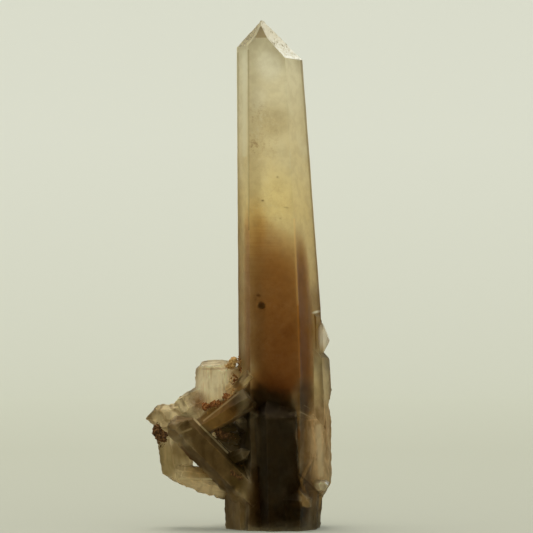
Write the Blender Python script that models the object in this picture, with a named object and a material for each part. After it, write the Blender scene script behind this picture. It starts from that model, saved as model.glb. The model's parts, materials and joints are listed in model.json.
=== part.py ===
"""Smoky quartz point, 150 mm tall, with a cluster of side crystals grown into its foot.

The quartz is one intergrown solid, cut flat at the foot so that it stands. Crusts of iron oxide sit
in the gaps between its crystals, each a solid of its own. Metres, +Z up, origin at the middle of the
foot, with the point's broad face towards -Y and the cluster towards -X. Sizes below are in millimetres.
"""

import math
import random
from dataclasses import dataclass

import bmesh
import bpy
from mathutils import Matrix, Vector

MM = 0.001
CRUST_GAP = 0.3  # clearance between a crust and the quartz it sits on
BLOCK = 600.0  # side of the block that every crystal is cut from

# Quartz grows six side faces 60 degrees apart, and end faces whose normals lean 51.8 degrees from its axis.
SIDE_AZIMUTHS = (0, 60, 120, 180, 240, 300)  # from the crystal's front, turning to its right
END_FACE_LEAN = math.radians(51.8)

QUARTZ_COLOUR = (0.36, 0.25, 0.13, 1.0)
OCHRE_COLOUR = (0.55, 0.27, 0.08, 1.0)
RUST_COLOUR = (0.16, 0.05, 0.025, 1.0)


@dataclass(frozen=True)
class Face:
    """A plane that cuts a crystal: it keeps what lies behind the point, as the normal sees it."""

    point: tuple
    normal: tuple


@dataclass(frozen=True)
class ParallelCrystal:
    """A crystal that grew along the main point's own axis, given by how far its faces lie from that axis.

    sides: distance of each side face at the height `level`.
    tapers: degrees that each side face leans in towards the tip.
    shoulders: height at which each side face gives way to its end face.
    foot: height of the flat lower end.
    cuts: further faces, such as a broken corner.
    """

    name: str
    level: float
    sides: tuple
    tapers: tuple
    shoulders: tuple
    foot: float
    cuts: tuple = ()


@dataclass(frozen=True)
class SideCrystal:
    """A six-sided crystal that grew from `foot` to `tip`, `width` across its corners and `depth` deep.

    Its first side faces the front of the specimen, and roll turns it from there about its own axis.
    taper leans its sides in, and tip_shifts moves each end face out along the axis. One with
    pointed=False has no end faces, and its cuts break it off.
    """

    name: str
    foot: tuple
    tip: tuple
    width: float
    depth: float
    roll: float = 0.0
    taper: float = 1.0
    tip_shifts: tuple = (0.0, 0.5, 0.1, 0.7, 0.0, 0.4)
    pointed: bool = True
    cuts: tuple = ()


MAIN_POINT = ParallelCrystal(
    "main_point",
    level=70.0,
    sides=(9.45, 11.28, 12.98, 9.45, 6.87, 10.38),
    tapers=(1.35, 3.43, 3.9, 0.95, -0.92, 0.32),
    shoulders=(144.2, 138.3, 138.2, 139.9, 141.8, 141.9),
    foot=9.0,
    cuts=(
        Face((8.95, 1.15, 138.3), (0.52, 0.59, 0.62)),
        Face((13.74, 0, 60), (0.866, -0.5, 0.012)),
        Face((15.42, 0, 60), (0.866, 0.5, 0.008)),
    ),
)

# Parallel growths that step out from the point's right side and carry it down to the foot.
PARALLEL_GROWTHS = (
    ParallelCrystal(
        "upper_step",
        level=60.0,
        sides=(2.0, 12.35, 13.15, 6.5, -3.0, -2.0),
        tapers=(0.6, 1.1, 0.9, 0.8, 0.0, 0.0),
        shoulders=(70.0, 62.4, 61.2, 57.0, 70.0, 70.0),
        foot=18.0,
    ),
    ParallelCrystal(
        "middle_step",
        level=41.0,
        sides=(3.0, 14.6, 15.8, 7.4, -4.0, -3.0),
        tapers=(0.5, 2.6, 3.4, 1.2, 0.0, 0.0),
        shoulders=(56.0, 50.4, 49.6, 46.0, 62.0, 60.0),
        foot=24.0,
        cuts=(Face((17.55, 0, 40.6), (0.976, 0.0, -0.218)),),
    ),
    ParallelCrystal(
        "lower_step",
        level=24.0,
        sides=(2.0, 14.9, 15.45, 8.1, -5.0, -4.0),
        tapers=(1.0, 0.5, 0.6, 0.9, 0.0, 0.0),
        shoulders=(38.0, 36.5, 35.0, 31.0, 50.0, 50.0),
        foot=5.0,
        cuts=(
            Face((17.45, 0, 33.2), (0.966, 0.05, 0.259)),
            Face((17.5, 0, 13.3), (0.80, -0.12, -0.59)),
        ),
    ),
    ParallelCrystal(
        "trunk",
        level=8.0,
        sides=(10.8, 12.7, 12.95, 9.9, 8.4, 11.3),
        tapers=(1.0, -4.0, -5.0, -1.0, 1.5, 1.0),
        shoulders=(15.0, 22.0, 23.0, 22.0, 20.0, 21.0),
        foot=-6.0,
    ),
)

SIDE_CRYSTALS = (
    # Stout growths that stand in front of the point's foot and hide the lower end of its broad face.
    SideCrystal("front_pillar", (1.6, -3.2, -8), (0.2, -5.4, 44.4), 18.8, 16.8, roll=15, taper=0.7,
                tip_shifts=(-0.6, 0.4, 1.6, 2.0, 1.0, 0.0)),
    SideCrystal("right_flank", (8.7, -1.5, -6), (7.8, -1.2, 39.6), 19.1, 12.0, roll=44, taper=0.4,
                tip_shifts=(0.0, -1.5, 0.0, 0.0, 0.0, 0.0),
                cuts=(
                    Face((17.45, 0, 33.2), (0.966, 0.05, 0.259)),
                    Face((17.5, 0, 13.3), (0.80, -0.12, -0.59)),
                    Face((11.5, -6.5, 13.0), (-0.62, -0.12, -0.70)),
                )),
    SideCrystal("front_foot", (5.0, -4.2, -6), (6.6, -7.0, 19.6), 15.0, 13.4, roll=-9, taper=1.6,
                tip_shifts=(-1.4, 0.6, 1.4, 2.0, 1.2, -1.0)),
    SideCrystal("left_foot", (-8.0, -2.0, -6), (-9.3, -2.6, 19.5), 10.6, 13.0, roll=6, taper=0.2),
    SideCrystal("right_foot", (10.2, -4.0, -6), (11.8, -5.2, 12.4), 5.0, 6.4, roll=8, taper=1.0),
    # The cluster to the left, from its top downwards.
    SideCrystal("blunt_crystal", (-17.4, -1.2, 30.0), (-16.2, -0.6, 56.0), 11.8, 13.0, roll=3, taper=0.6,
                pointed=False,
                cuts=(
                    Face((-16.4, -0.6, 48.7), (-0.04, -0.12, 0.99)),
                    Face((-21.0, -0.6, 48.3), (-0.66, -0.10, 0.74)),
                    Face((-12.6, -3.0, 48.0), (0.42, -0.50, 0.75)),
                )),
    SideCrystal("stub_crystal", (-12.2, -6.4, 39.4), (-5.6, -9.8, 46.4), 3.4, 3.6, roll=14, taper=-1.0,
                pointed=False,
                cuts=(Face((-6.2, -9.5, 45.8), (0.66, -0.30, 0.69)),)),
    SideCrystal("bead_crystal", (-12.6, -2.0, 40.2), (-12.2, -7.9, 41.8), 3.2, 3.0, roll=15, taper=3.0),
    SideCrystal("upper_bead_crystal", (-11.6, -1.4, 43.2), (-11.3, -6.9, 44.4), 2.7, 2.6, roll=35,
                taper=3.0),
    SideCrystal("rough_crystal", (-3.0, 1.6, 46.4), (-30.0, -1.2, 33.0), 9.4, 9.0, roll=24, taper=1.0,
                tip_shifts=(0.0, 0.6, 0.0, 1.1, 0.3, 0.2)),
    SideCrystal("rough_knob", (-20.0, 1.4, 33.2), (-37.2, -1.6, 32.4), 8.2, 8.0, roll=20, taper=2.0,
                tip_shifts=(0.0, 0.4, 0.0, 1.3, 0.2, 0.3),
                cuts=(
                    Face((-34.8, -1.0, 34.9), (-0.70, -0.10, 0.70)),
                    Face((-35.9, -1.0, 30.4), (-0.80, -0.10, -0.58)),
                    Face((-30.6, -3.6, 35.0), (-0.18, -0.50, 0.85)),
                    Face((-34.2, -4.4, 32.0), (-0.62, -0.78, 0.08)),
                )),
    SideCrystal("upright_crystal", (-27.2, 0.4, 12.6), (-29.9, -1.6, 32.8), 10.2, 8.8, roll=22, taper=-0.3,
                tip_shifts=(0.0, 0.4, 0.0, 0.8, 0.2, 0.3),
                cuts=(
                    Face((-33.4, -1.0, 18.9), (-0.90, -0.10, -0.42)),
                    Face((-27.8, -1.0, 13.7), (-0.50, -0.10, -0.86)),
                    Face((-34.15, -1.0, 23.0), (-0.998, -0.06, 0.01)),
                    Face((-31.6, -4.6, 20.0), (-0.52, -0.84, -0.14)),
                )),
    SideCrystal("rising_crystal", (-23.8, -5.0, 28.0), (-4.0, -10.4, 39.9), 6.6, 6.4, roll=10, taper=-2.2,
                pointed=False,
                cuts=(
                    Face((-5.3, -9.4, 38.5), (0.68, -0.20, 0.70)),
                    Face((-4.9, -10.2, 36.0), (0.92, -0.30, -0.25)),
                )),
    SideCrystal("leaning_crystal", (-4.4, -6.6, 8.4), (-31.6, -8.2, 35.1), 9.4, 8.4, roll=7, taper=0.3,
                cuts=(
                    Face((-25.6, -7.0, 33.0), (0.02, -0.18, 0.98)),
                    Face((-30.2, -7.0, 30.4), (-0.97, 0.05, 0.20)),
                    Face((-29.0, -7.4, 32.2), (-0.62, -0.15, 0.77)),
                    Face((-22.0, -7.6, 32.2), (0.52, -0.20, 0.83)),
                    Face((-28.4, -11.0, 31.4), (-0.35, -0.75, 0.56)),
                )),
    SideCrystal("cross_crystal", (-12.0, -3.4, 14.6), (-28.6, -5.2, 17.7), 4.3, 4.2, roll=30, taper=0.3,
                tip_shifts=(0.0, 0.3, 0.0, 0.3, 0.2, 0.1)),
    SideCrystal("keel_crystal", (-9.0, -1.4, 10.0), (-30.4, -2.4, 16.4), 5.6, 7.0, roll=18, taper=0.2,
                tip_shifts=(0.0, 0.4, 0.0, 0.6, 0.2, 0.3),
                cuts=(Face((-25.8, -2.0, 12.5), (-0.74, -0.05, -0.67)),)),
    # Small crystals in the hollow behind the leaning crystal.
    SideCrystal("hollow_crystal", (-10.6, -1.0, 26.8), (-11.8, -8.6, 26.4), 4.4, 4.2, roll=18, taper=3.0),
    SideCrystal("shaded_crystal", (-6.0, -1.0, 29.6), (-9.6, -9.6, 31.4), 5.4, 5.0, roll=5, taper=2.0),
    SideCrystal("wedge_crystal", (-13.8, -7.0, 19.6), (-6.4, -11.0, 23.4), 4.0, 3.4, roll=5, taper=1.0,
                tip_shifts=(0.0, 0.2, 0.0, 0.3, 0.1, 0.2)),
    SideCrystal("back_of_hollow", (1.0, 0.6, 22.0), (-20.0, 2.6, 30.0), 11.0, 8.4, roll=12, taper=1.0),
    # Small crystals and chips on the right side.
    SideCrystal("side_splinter", (15.0, -0.4, 50.0), (15.6, -0.8, 61.4), 3.5, 3.0, roll=11, taper=-2.0,
                tip_shifts=(0.0, 0.0, 0.2, 0.3, 0.0, 0.1),
                cuts=(
                    Face((16.7, 0, 54.4), (0.86, -0.1, -0.50)),
                    Face((16.3, 0, 57.2), (0.92, -0.1, 0.39)),
                )),
    SideCrystal("right_bead", (11.6, -4.2, 12.6), (16.4, -8.4, 13.2), 4.0, 3.2, roll=9, taper=2.0),
    SideCrystal("right_flake", (5.6, -7.0, 13.6), (11.2, -13.2, 7.2), 4.6, 3.2, roll=20, taper=3.0),
    # Growths on the far side.
    SideCrystal("back_left_crystal", (-5.0, 4.0, 8.0), (-15.4, 13.8, 26.6), 8.0, 7.2, roll=17, taper=1.0),
    SideCrystal("back_crystal", (1.6, 4.4, 3.0), (4.6, 15.4, 21.8), 7.2, 6.6, roll=-12, taper=1.0),
    SideCrystal("back_right_crystal", (7.0, 3.0, 22.0), (13.4, 11.2, 35.6), 5.8, 5.2, roll=9, taper=1.0),
    SideCrystal("back_foot", (-6.8, 5.6, -6.0), (-7.6, 6.6, 17.4), 9.0, 8.4, roll=14, taper=0.5),
)


@dataclass(frozen=True)
class Crust:
    """A crumbly patch of iron oxide in a gap: lumps of `size` strung from `start` to `end`."""

    name: str
    start: tuple
    end: tuple
    lumps: int
    size: float
    colour: tuple
    seed: int


CRUSTS = (
    Crust("ochre_crust_top", (-12.3, -3.8, 47.9), (-11.0, -5.2, 49.7), 5, 1.9, OCHRE_COLOUR, 3),
    Crust("ochre_crust_ledge", (-13.4, -8.2, 38.6), (-11.0, -8.8, 41.0), 5, 1.9, OCHRE_COLOUR, 11),
    Crust("ochre_crust_foot", (-19.4, -7.7, 35.9), (-16.0, -8.6, 37.0), 5, 1.9, OCHRE_COLOUR, 5),
    Crust("rust_crust_tip", (-33.8, -4.2, 29.2), (-31.8, -5.4, 26.6), 6, 2.5, RUST_COLOUR, 19),
    Crust("rust_crust_hollow", (-16.2, -7.6, 28.8), (-13.8, -8.0, 27.4), 4, 2.0, RUST_COLOUR, 23),
)


def outward(azimuth, lean=0.0):
    """The outward normal of a face at this azimuth in degrees, leaning up by `lean` in radians."""
    turn = math.radians(azimuth)
    level = Vector((math.sin(turn), -math.cos(turn), 0.0))
    return level * math.cos(lean) + Vector((0, 0, 1)) * math.sin(lean)


def parallel_faces(crystal, grow):
    """The faces of a crystal on the main axis, each moved out by `grow`."""
    faces = [Face((0, 0, crystal.foot - grow), (0, 0, -1))]
    for azimuth, side, taper, shoulder in zip(
        SIDE_AZIMUTHS, crystal.sides, crystal.tapers, crystal.shoulders
    ):
        lean = math.radians(taper)
        level = outward(azimuth)
        side_normal = outward(azimuth, lean)
        on_side = level * side + Vector((0, 0, crystal.level))
        faces.append(Face(on_side + side_normal * grow, side_normal))
        side_at_shoulder = side - (shoulder - crystal.level) * math.tan(lean)
        end_normal = outward(azimuth, math.pi / 2 - END_FACE_LEAN)
        on_end = level * side_at_shoulder + Vector((0, 0, shoulder))
        faces.append(Face(on_end + end_normal * grow, end_normal))
    return faces + grown(crystal.cuts, grow)


def grown(cuts, grow):
    """Those cutting faces, moved out by `grow`."""
    return [Face(Vector(cut.point) + Vector(cut.normal).normalized() * grow, cut.normal) for cut in cuts]


def side_faces(crystal, grow):
    """The faces of a crystal that grew off the main axis, each moved out by `grow`."""
    foot = Vector(crystal.foot)
    axis = Vector(crystal.tip) - foot
    length = axis.length
    across = Vector((0, 1, 0)).cross(axis).normalized()
    frame = Matrix((across, axis.cross(across).normalized(), axis.normalized())).transposed()
    turn = frame @ Matrix.Rotation(math.radians(crystal.roll), 3, "Z")
    lean = math.radians(crystal.taper)
    distances = [crystal.depth / 2 if azimuth % 180 == 0 else crystal.width / 2 * math.sin(math.radians(60))
                 for azimuth in SIDE_AZIMUTHS]
    faces = [Face(foot - axis.normalized() * grow, -axis)]
    for azimuth, distance, shift in zip(SIDE_AZIMUTHS, distances, crystal.tip_shifts):
        side_normal = turn @ outward(azimuth, lean)
        on_side = foot + turn @ (outward(azimuth) * distance + Vector((0, 0, length / 2)))
        faces.append(Face(on_side + side_normal * grow, side_normal))
        if crystal.pointed:
            end_normal = turn @ outward(azimuth, math.pi / 2 - END_FACE_LEAN)
            on_end = foot + turn @ Vector((0, 0, length + shift))
            faces.append(Face(on_end + end_normal * grow, end_normal))
    return faces + grown(crystal.cuts, grow)


def cut_crystal(name, faces, collection):
    """A closed convex crystal, cut by its faces from a block that is larger than any of them reach."""
    mesh = bpy.data.meshes.new(name)
    bm = bmesh.new()
    bmesh.ops.create_cube(bm, size=BLOCK * MM)
    for face in faces:
        everything = bm.verts[:] + bm.edges[:] + bm.faces[:]
        cut = bmesh.ops.bisect_plane(
            bm, geom=everything, dist=1e-8, plane_co=Vector(face.point) * MM,
            plane_no=Vector(face.normal).normalized(), clear_outer=True,
        )
        rim = [part for part in cut["geom_cut"] if isinstance(part, bmesh.types.BMEdge)]
        if rim:
            bmesh.ops.edgeloop_fill(bm, edges=rim)
    bmesh.ops.remove_doubles(bm, verts=bm.verts[:], dist=2e-6)
    bmesh.ops.recalc_face_normals(bm, faces=bm.faces[:])
    bm.to_mesh(mesh)
    bm.free()
    crystal = bpy.data.objects.new(name, mesh)
    collection.objects.link(crystal)
    return crystal


def quartz_crystals(collection, grow=0.0, ending=""):
    """Every crystal of the specimen, in order, as separate closed meshes. The main point comes first."""
    made = [cut_crystal(c.name + ending, parallel_faces(c, grow), collection)
            for c in (MAIN_POINT, *PARALLEL_GROWTHS)]
    made += [cut_crystal(c.name + ending, side_faces(c, grow), collection) for c in SIDE_CRYSTALS]
    return made


def make_helper(thing):
    """A cutter or a shape to be joined: it isn't part of the specimen by itself."""
    thing.hide_render = True
    thing.display_type = "WIRE"


def join(target, tool, operation):
    """Adds a Boolean of the target with one tool object."""
    step = target.modifiers.new(f"{operation.lower()} {tool.name}", "BOOLEAN")
    step.operation = operation
    step.object = tool
    step.solver = "EXACT"


def finish(thing, colour, roughness, transmission=0.0):
    """Gives an object its own plain material."""
    material = bpy.data.materials.new(thing.name)
    material.use_nodes = True
    shader = material.node_tree.nodes["Principled BSDF"]
    shader.inputs["Base Color"].default_value = colour
    shader.inputs["Roughness"].default_value = roughness
    shader.inputs["Metallic"].default_value = 0.0
    shader.inputs["Transmission Weight"].default_value = transmission
    thing.data.materials.append(material)


def floor_block(cutters):
    """A block whose top is the flat foot: it cuts off all that would reach below."""
    bpy.ops.mesh.primitive_cube_add(size=1.0)
    block = bpy.context.object
    block.name = "floor_block"
    block.dimensions = (0.2, 0.2, 0.04)
    block.location = (0, 0, -0.02)
    for collection in list(block.users_collection):
        collection.objects.unlink(block)
    cutters.objects.link(block)
    make_helper(block)
    return block


def bodies_of(bm):
    """The separate bodies of a mesh, each as a list of its faces."""
    left = set(bm.faces)
    bodies = []
    while left:
        body = [left.pop()]
        for face in body:
            beside = {other for edge in face.edges for other in edge.link_faces} & left
            left -= beside
            body.extend(beside)
        bodies.append(body)
    return bodies


def keep_outer_body(thing):
    """Applies the modifiers, drops the loose crumbs that cuts leave and fills sealed pockets."""
    graph = bpy.context.evaluated_depsgraph_get()
    mesh = bpy.data.meshes.new_from_object(thing.evaluated_get(graph))
    bm = bmesh.new()
    bm.from_mesh(mesh)
    bodies = sorted(bodies_of(bm), key=lambda body: sum(face.calc_area() for face in body))
    dropped = [face for body in bodies[:-1] for face in body]
    bmesh.ops.delete(bm, geom=dropped, context="FACES")
    bm.to_mesh(mesh)
    bm.free()
    thing.modifiers.clear()
    thing.data = mesh


def build_quartz(specimen, cutters, floor):
    """The intergrown quartz: the main point, joined with every crystal that overlaps it."""
    crystals = quartz_crystals(cutters)
    quartz = crystals[0]
    cutters.objects.unlink(quartz)
    specimen.objects.link(quartz)
    quartz.name = "quartz_cluster"
    for crystal in crystals[1:]:
        make_helper(crystal)
        join(quartz, crystal, "UNION")
    join(quartz, floor, "DIFFERENCE")
    keep_outer_body(quartz)
    finish(quartz, QUARTZ_COLOUR, roughness=0.2, transmission=0.9)


def lump(bm, centre, size, dice):
    """Adds one rounded, uneven lump of crust."""
    made = bmesh.ops.create_icosphere(bm, subdivisions=1, radius=size / 2 * MM)
    stretch = Vector([dice.uniform(0.75, 1.3) for _ in range(3)])
    for vert in made["verts"]:
        vert.co = Vector([vert.co[i] * stretch[i] for i in range(3)]) * dice.uniform(0.88, 1.12)
        vert.co += Vector(centre) * MM


def build_crust(crust, specimen, cutters, clearance):
    """One crust: its lumps joined, then cut back to a small gap from the quartz around it."""
    dice = random.Random(crust.seed)
    lumps = []
    for index in range(crust.lumps):
        share = index / max(crust.lumps - 1, 1)
        centre = Vector(crust.start).lerp(Vector(crust.end), share)
        centre += Vector([dice.uniform(-0.22, 0.22) * crust.size for _ in range(3)])
        mesh = bpy.data.meshes.new(f"{crust.name}_lump_{index}")
        bm = bmesh.new()
        lump(bm, centre, crust.size, dice)
        bm.to_mesh(mesh)
        bm.free()
        lumps.append(bpy.data.objects.new(mesh.name, mesh))
    patch = lumps[0]
    patch.name = crust.name
    specimen.objects.link(patch)
    for piece in lumps[1:]:
        cutters.objects.link(piece)
        make_helper(piece)
        join(patch, piece, "UNION")
    for crystal in clearance:
        join(patch, crystal, "DIFFERENCE")
    keep_outer_body(patch)
    finish(patch, crust.colour, roughness=0.9)


def main():
    for thing in list(bpy.data.objects):
        bpy.data.objects.remove(thing, do_unlink=True)
    specimen = bpy.data.collections.new("smoky_quartz_point")
    cutters = bpy.data.collections.new("cutters")
    for collection in (specimen, cutters):
        bpy.context.scene.collection.children.link(collection)
    build_quartz(specimen, cutters, floor_block(cutters))
    clearance = quartz_crystals(cutters, grow=CRUST_GAP, ending="_clearance")
    for crystal in clearance:
        make_helper(crystal)
    for crust in CRUSTS:
        build_crust(crust, specimen, cutters, clearance)


main()
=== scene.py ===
"""Looks of a smoky quartz point: hazy quartz with a darker phantom sealed in it, and crusts of iron oxide."""

import json
import logging
import math
import random
from dataclasses import dataclass
from enum import Enum
from functools import cached_property
from typing import Any, Callable

import bmesh
import bpy
from mathutils import Matrix, Vector
from mathutils.bvhtree import BVHTree

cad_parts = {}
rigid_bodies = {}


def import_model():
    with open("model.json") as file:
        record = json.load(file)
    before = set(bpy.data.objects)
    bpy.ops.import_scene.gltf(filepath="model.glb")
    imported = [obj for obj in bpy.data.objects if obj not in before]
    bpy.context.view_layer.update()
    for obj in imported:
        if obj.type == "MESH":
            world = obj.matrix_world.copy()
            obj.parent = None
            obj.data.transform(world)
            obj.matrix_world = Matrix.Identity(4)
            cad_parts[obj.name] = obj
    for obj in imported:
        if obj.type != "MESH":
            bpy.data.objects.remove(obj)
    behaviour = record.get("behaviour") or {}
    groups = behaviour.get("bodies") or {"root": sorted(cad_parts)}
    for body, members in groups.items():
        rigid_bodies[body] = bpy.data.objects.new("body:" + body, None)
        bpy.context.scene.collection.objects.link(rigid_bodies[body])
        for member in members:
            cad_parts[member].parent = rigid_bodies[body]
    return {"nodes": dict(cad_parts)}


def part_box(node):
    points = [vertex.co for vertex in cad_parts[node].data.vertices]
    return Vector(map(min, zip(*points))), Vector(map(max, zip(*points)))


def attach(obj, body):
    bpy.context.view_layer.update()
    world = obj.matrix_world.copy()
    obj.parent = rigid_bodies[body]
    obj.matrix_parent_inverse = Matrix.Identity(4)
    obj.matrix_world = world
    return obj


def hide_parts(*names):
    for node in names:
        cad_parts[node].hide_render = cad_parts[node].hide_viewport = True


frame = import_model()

Piece = bpy.types.Object
Socket = bpy.types.NodeSocket
Place = tuple[float, float, float]
Test = Callable[[Vector, Vector], bool]

MM = 0.001
ROOT = "root"
EDGE = "edge"
QUARTZ_NODE = "quartz_cluster"
QUARTZ_SLOT = "smoky_quartz"
OCHRE_SLOT = "ochre_iron_oxide"
RUST_SLOT = "rust_iron_oxide"
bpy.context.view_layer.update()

# Settings that many nodes share.
SMOOTH = {"interpolation_type": "SMOOTHSTEP"}
COLOURS = {"data_type": "RGBA"}
DARKEN = {"data_type": "RGBA", "blend_type": "MULTIPLY"}
GLEAM = {"data_type": "RGBA", "blend_type": "DODGE"}

log = logging.getLogger("smoky_quartz_point")


# --- Small helpers -----------------------------------------------------------------------------------


def linear(hex_colour: str) -> tuple[float, float, float, float]:
    """Turns an sRGB hex colour into the linear colour that shaders take.

    Args:
        hex_colour: Six hex digits, such as "b4a078".

    Returns:
        Red, green, blue and an alpha of one.
    """
    channels = [int(hex_colour[i:i + 2], 16) / 255 for i in (0, 2, 4)]
    flat = [c / 12.92 if c <= 0.04045 else ((c + 0.055) / 1.055) ** 2.4 for c in channels]
    return (*flat, 1.0)


def per_mm(size: float) -> float:
    """Returns the texture scale whose features are `size` millimetres across."""
    return 1.0 / (size * MM)


def mm(*values: float) -> Vector:
    """Returns a place given in millimetres as a vector in metres."""
    return Vector(values) * MM


class Net:
    """A new material's nodes, which end in one Principled shader.

    Attributes:
        material: The material.
        tree: Its node tree.
        shader: Its Principled shader.
    """

    def __init__(self, name: str) -> None:
        """Makes the material.

        Args:
            name: The material's name.
        """
        self.material = bpy.data.materials.new(name)
        self.material.use_nodes = True
        self.tree = self.material.node_tree
        self.shader = self.tree.nodes["Principled BSDF"]

    @cached_property
    def place(self) -> Socket:
        """The place on the piece, which every pattern reads."""
        return self.add("TexCoord", output="Object")

    @cached_property
    def height(self) -> Socket:
        """The height of the place."""
        return self.add("SeparateXYZ", self.place, output="Z")

    def fill(self, node: bpy.types.Node, values: dict[Any, Any]) -> None:
        """Feeds a node's inputs.

        Args:
            node: The node.
            values: By input name or number, a socket to link, an sRGB hex colour or a plain value.
        """
        for key, value in values.items():
            if isinstance(value, Socket):
                self.tree.links.new(value, node.inputs[key])
            else:
                node.inputs[key].default_value = linear(value) if isinstance(value, str) else value

    def add(self, kind: str, *feeds: Any, output: str = "", stops: tuple[tuple[float, str], ...] = (),
            **settings: Any) -> Socket:
        """Adds a shader node with its settings and links.

        Args:
            kind: The node's type, without the leading "ShaderNode".
            feeds: What goes into the inputs that its settings leave open, in their order.
            output: Name of the output to return, where it isn't the first open one.
            stops: Each position and sRGB hex colour of a colour ramp.
            settings: Values of its properties, or of its inputs by name.

        Returns:
            The output's socket.
        """
        node = self.tree.nodes.new("ShaderNode" + kind)
        named = {name: value for name, value in settings.items() if name in node.inputs}
        for name, value in settings.items():
            if name not in named:
                setattr(node, name, value)
        numbers = [index for index, socket in enumerate(node.inputs) if socket.enabled]
        self.fill(node, {**named, **dict(zip(numbers, feeds))})
        for index, (position, colour) in enumerate(stops):
            elements = node.color_ramp.elements
            element = elements[index] if index < 2 else elements.new(position)
            element.position, element.color = position, linear(colour)
        return node.outputs[output] if output else next(socket for socket in node.outputs if socket.enabled)

    def absorb(self, colour: Any, density: float) -> None:
        """Fills the piece with clear stuff that absorbs light.

        Args:
            colour: The colour that it passes.
            density: How strongly it absorbs the rest, per metre.
        """
        volume = self.add("VolumeAbsorption", Color=colour, Density=density)
        self.fill(self.tree.nodes["Material Output"], {"Volume": volume})


def activate(thing: Piece) -> None:
    """Selects one object alone and makes it active.

    Args:
        thing: The object.
    """
    for other in bpy.context.view_layer.objects:
        other.select_set(False)
    thing.select_set(True)
    bpy.context.view_layer.objects.active = thing


def new_object(name: str, data: bpy.types.ID) -> Piece:
    """Puts a mesh, a light or a camera into the scene.

    Args:
        name: The object's name.
        data: What it holds.

    Returns:
        The new object.
    """
    thing = bpy.data.objects.new(name, data)
    bpy.context.scene.collection.objects.link(thing)
    return thing


def apply_modifier(thing: Piece, kind: str, **settings: Any) -> None:
    """Adds a modifier and applies it.

    Args:
        thing: The object.
        kind: The modifier's type.
        settings: Its settings by name.
    """
    activate(thing)
    modifier = thing.modifiers.new(kind.lower(), kind)
    for name, value in settings.items():
        setattr(modifier, name, value)
    bpy.ops.object.modifier_apply(modifier=modifier.name)


def displace(thing: Piece, name: str, kind: str, size: float, strength: float, mid_level: float = 0.5,
             group: str = "", **settings: Any) -> None:
    """Roughens an object by a texture.

    Args:
        thing: The object.
        name: The texture's name.
        kind: The texture's type.
        size: Width of its features, in millimetres.
        strength: Height of its relief, in millimetres.
        mid_level: The texture's value that leaves a face where it is.
        group: The vertex group that it moves, or nothing for all.
        settings: The texture's other settings.
    """
    texture = bpy.data.textures.new(name, kind)
    for key, value in {"noise_scale": size * MM, **settings}.items():
        setattr(texture, key, value)
    apply_modifier(thing, "DISPLACE", texture=texture, texture_coords="LOCAL", strength=strength * MM,
                   mid_level=mid_level, vertex_group=group)


def surface_of(piece: Piece) -> BVHTree:
    """Sorts a piece's faces for finding places on it.

    Args:
        piece: An object in its final place.

    Returns:
        The tree of its faces.
    """
    mesh = piece.data
    return BVHTree.FromPolygons([vert.co for vert in mesh.vertices], [face.vertices for face in mesh.polygons])


def merged_copy(node_name: str, name: str) -> Piece:
    """Copies a CAD node's mesh into a new object, with its loose triangles merged and its flat faces whole.

    Args:
        node_name: The CAD node.
        name: The new object's name.

    Returns:
        The new object, in the node's place.
    """
    mesh = frame["nodes"][node_name].data.copy()
    mesh.materials.clear()
    piece = new_object(name, mesh)
    activate(piece)
    bpy.ops.mesh.customdata_custom_splitnormals_clear()
    bpy.ops.object.mode_set(mode="EDIT")
    bpy.ops.mesh.select_all(action="SELECT")
    bpy.ops.mesh.remove_doubles(threshold=1e-6)
    bpy.ops.mesh.dissolve_limited(angle_limit=math.radians(0.4))
    bpy.ops.object.mode_set(mode="OBJECT")
    return piece


def join_all(parts: list[Piece], name: str) -> Piece:
    """Joins objects into the first one and applies its place.

    Args:
        parts: The objects.
        name: The joined object's name.

    Returns:
        The joined object.
    """
    activate(parts[0])
    for part in parts:
        part.select_set(True)
    bpy.ops.object.join()
    whole = bpy.context.object
    whole.name = name
    bpy.ops.object.transform_apply(location=True, rotation=True, scale=True)
    return whole


def finish_piece(piece: Piece, material: bpy.types.Material, slot: str, angle: float) -> None:
    """Shades a piece, gives it its material and ties it to the frame.

    Args:
        piece: The finished mesh.
        material: Its material.
        slot: The record's slot that the material belongs to; not used.
        angle: Degrees past which an edge stays sharp.
    """
    activate(piece)
    bpy.ops.object.shade_smooth_by_angle(angle=math.radians(angle))
    piece.data.materials.clear()
    piece.data.materials.append(material)
    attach(piece, ROOT)


# --- Finishes ----------------------------------------------------------------------------------------


@dataclass(frozen=True)
class Pattern:
    """A random pattern in or on a surface.

    Attributes:
        size: Width of its features, in millimetres.
        detail: How many finer sizes lie over them.
        roughness: How strong the finer sizes are.
        distortion: How much it swirls.
        squeeze: Factors along X, Y and Z; a small one draws the features out along that axis.
    """

    size: float
    detail: float
    roughness: float = 0.5
    distortion: float = 0.0
    squeeze: Place = (1.0, 1.0, 1.0)

    def draw(self, net: Net, *limits: float) -> Socket:
        """Draws the pattern.

        Args:
            net: The material's nodes.
            limits: Where it fades in, from and to, and then what it fades from and to.

        Returns:
            Its value at each place, from 0 to 1 where no limits are given.
        """
        place = net.place
        if self.squeeze != (1.0, 1.0, 1.0):
            place = net.add("VectorMath", place, self.squeeze, operation="MULTIPLY")
        value = net.add("TexNoise", place, Scale=per_mm(self.size), Detail=self.detail, Roughness=self.roughness,
                        Distortion=self.distortion)
        return net.add("MapRange", value, *limits, **SMOOTH) if limits else value


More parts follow.
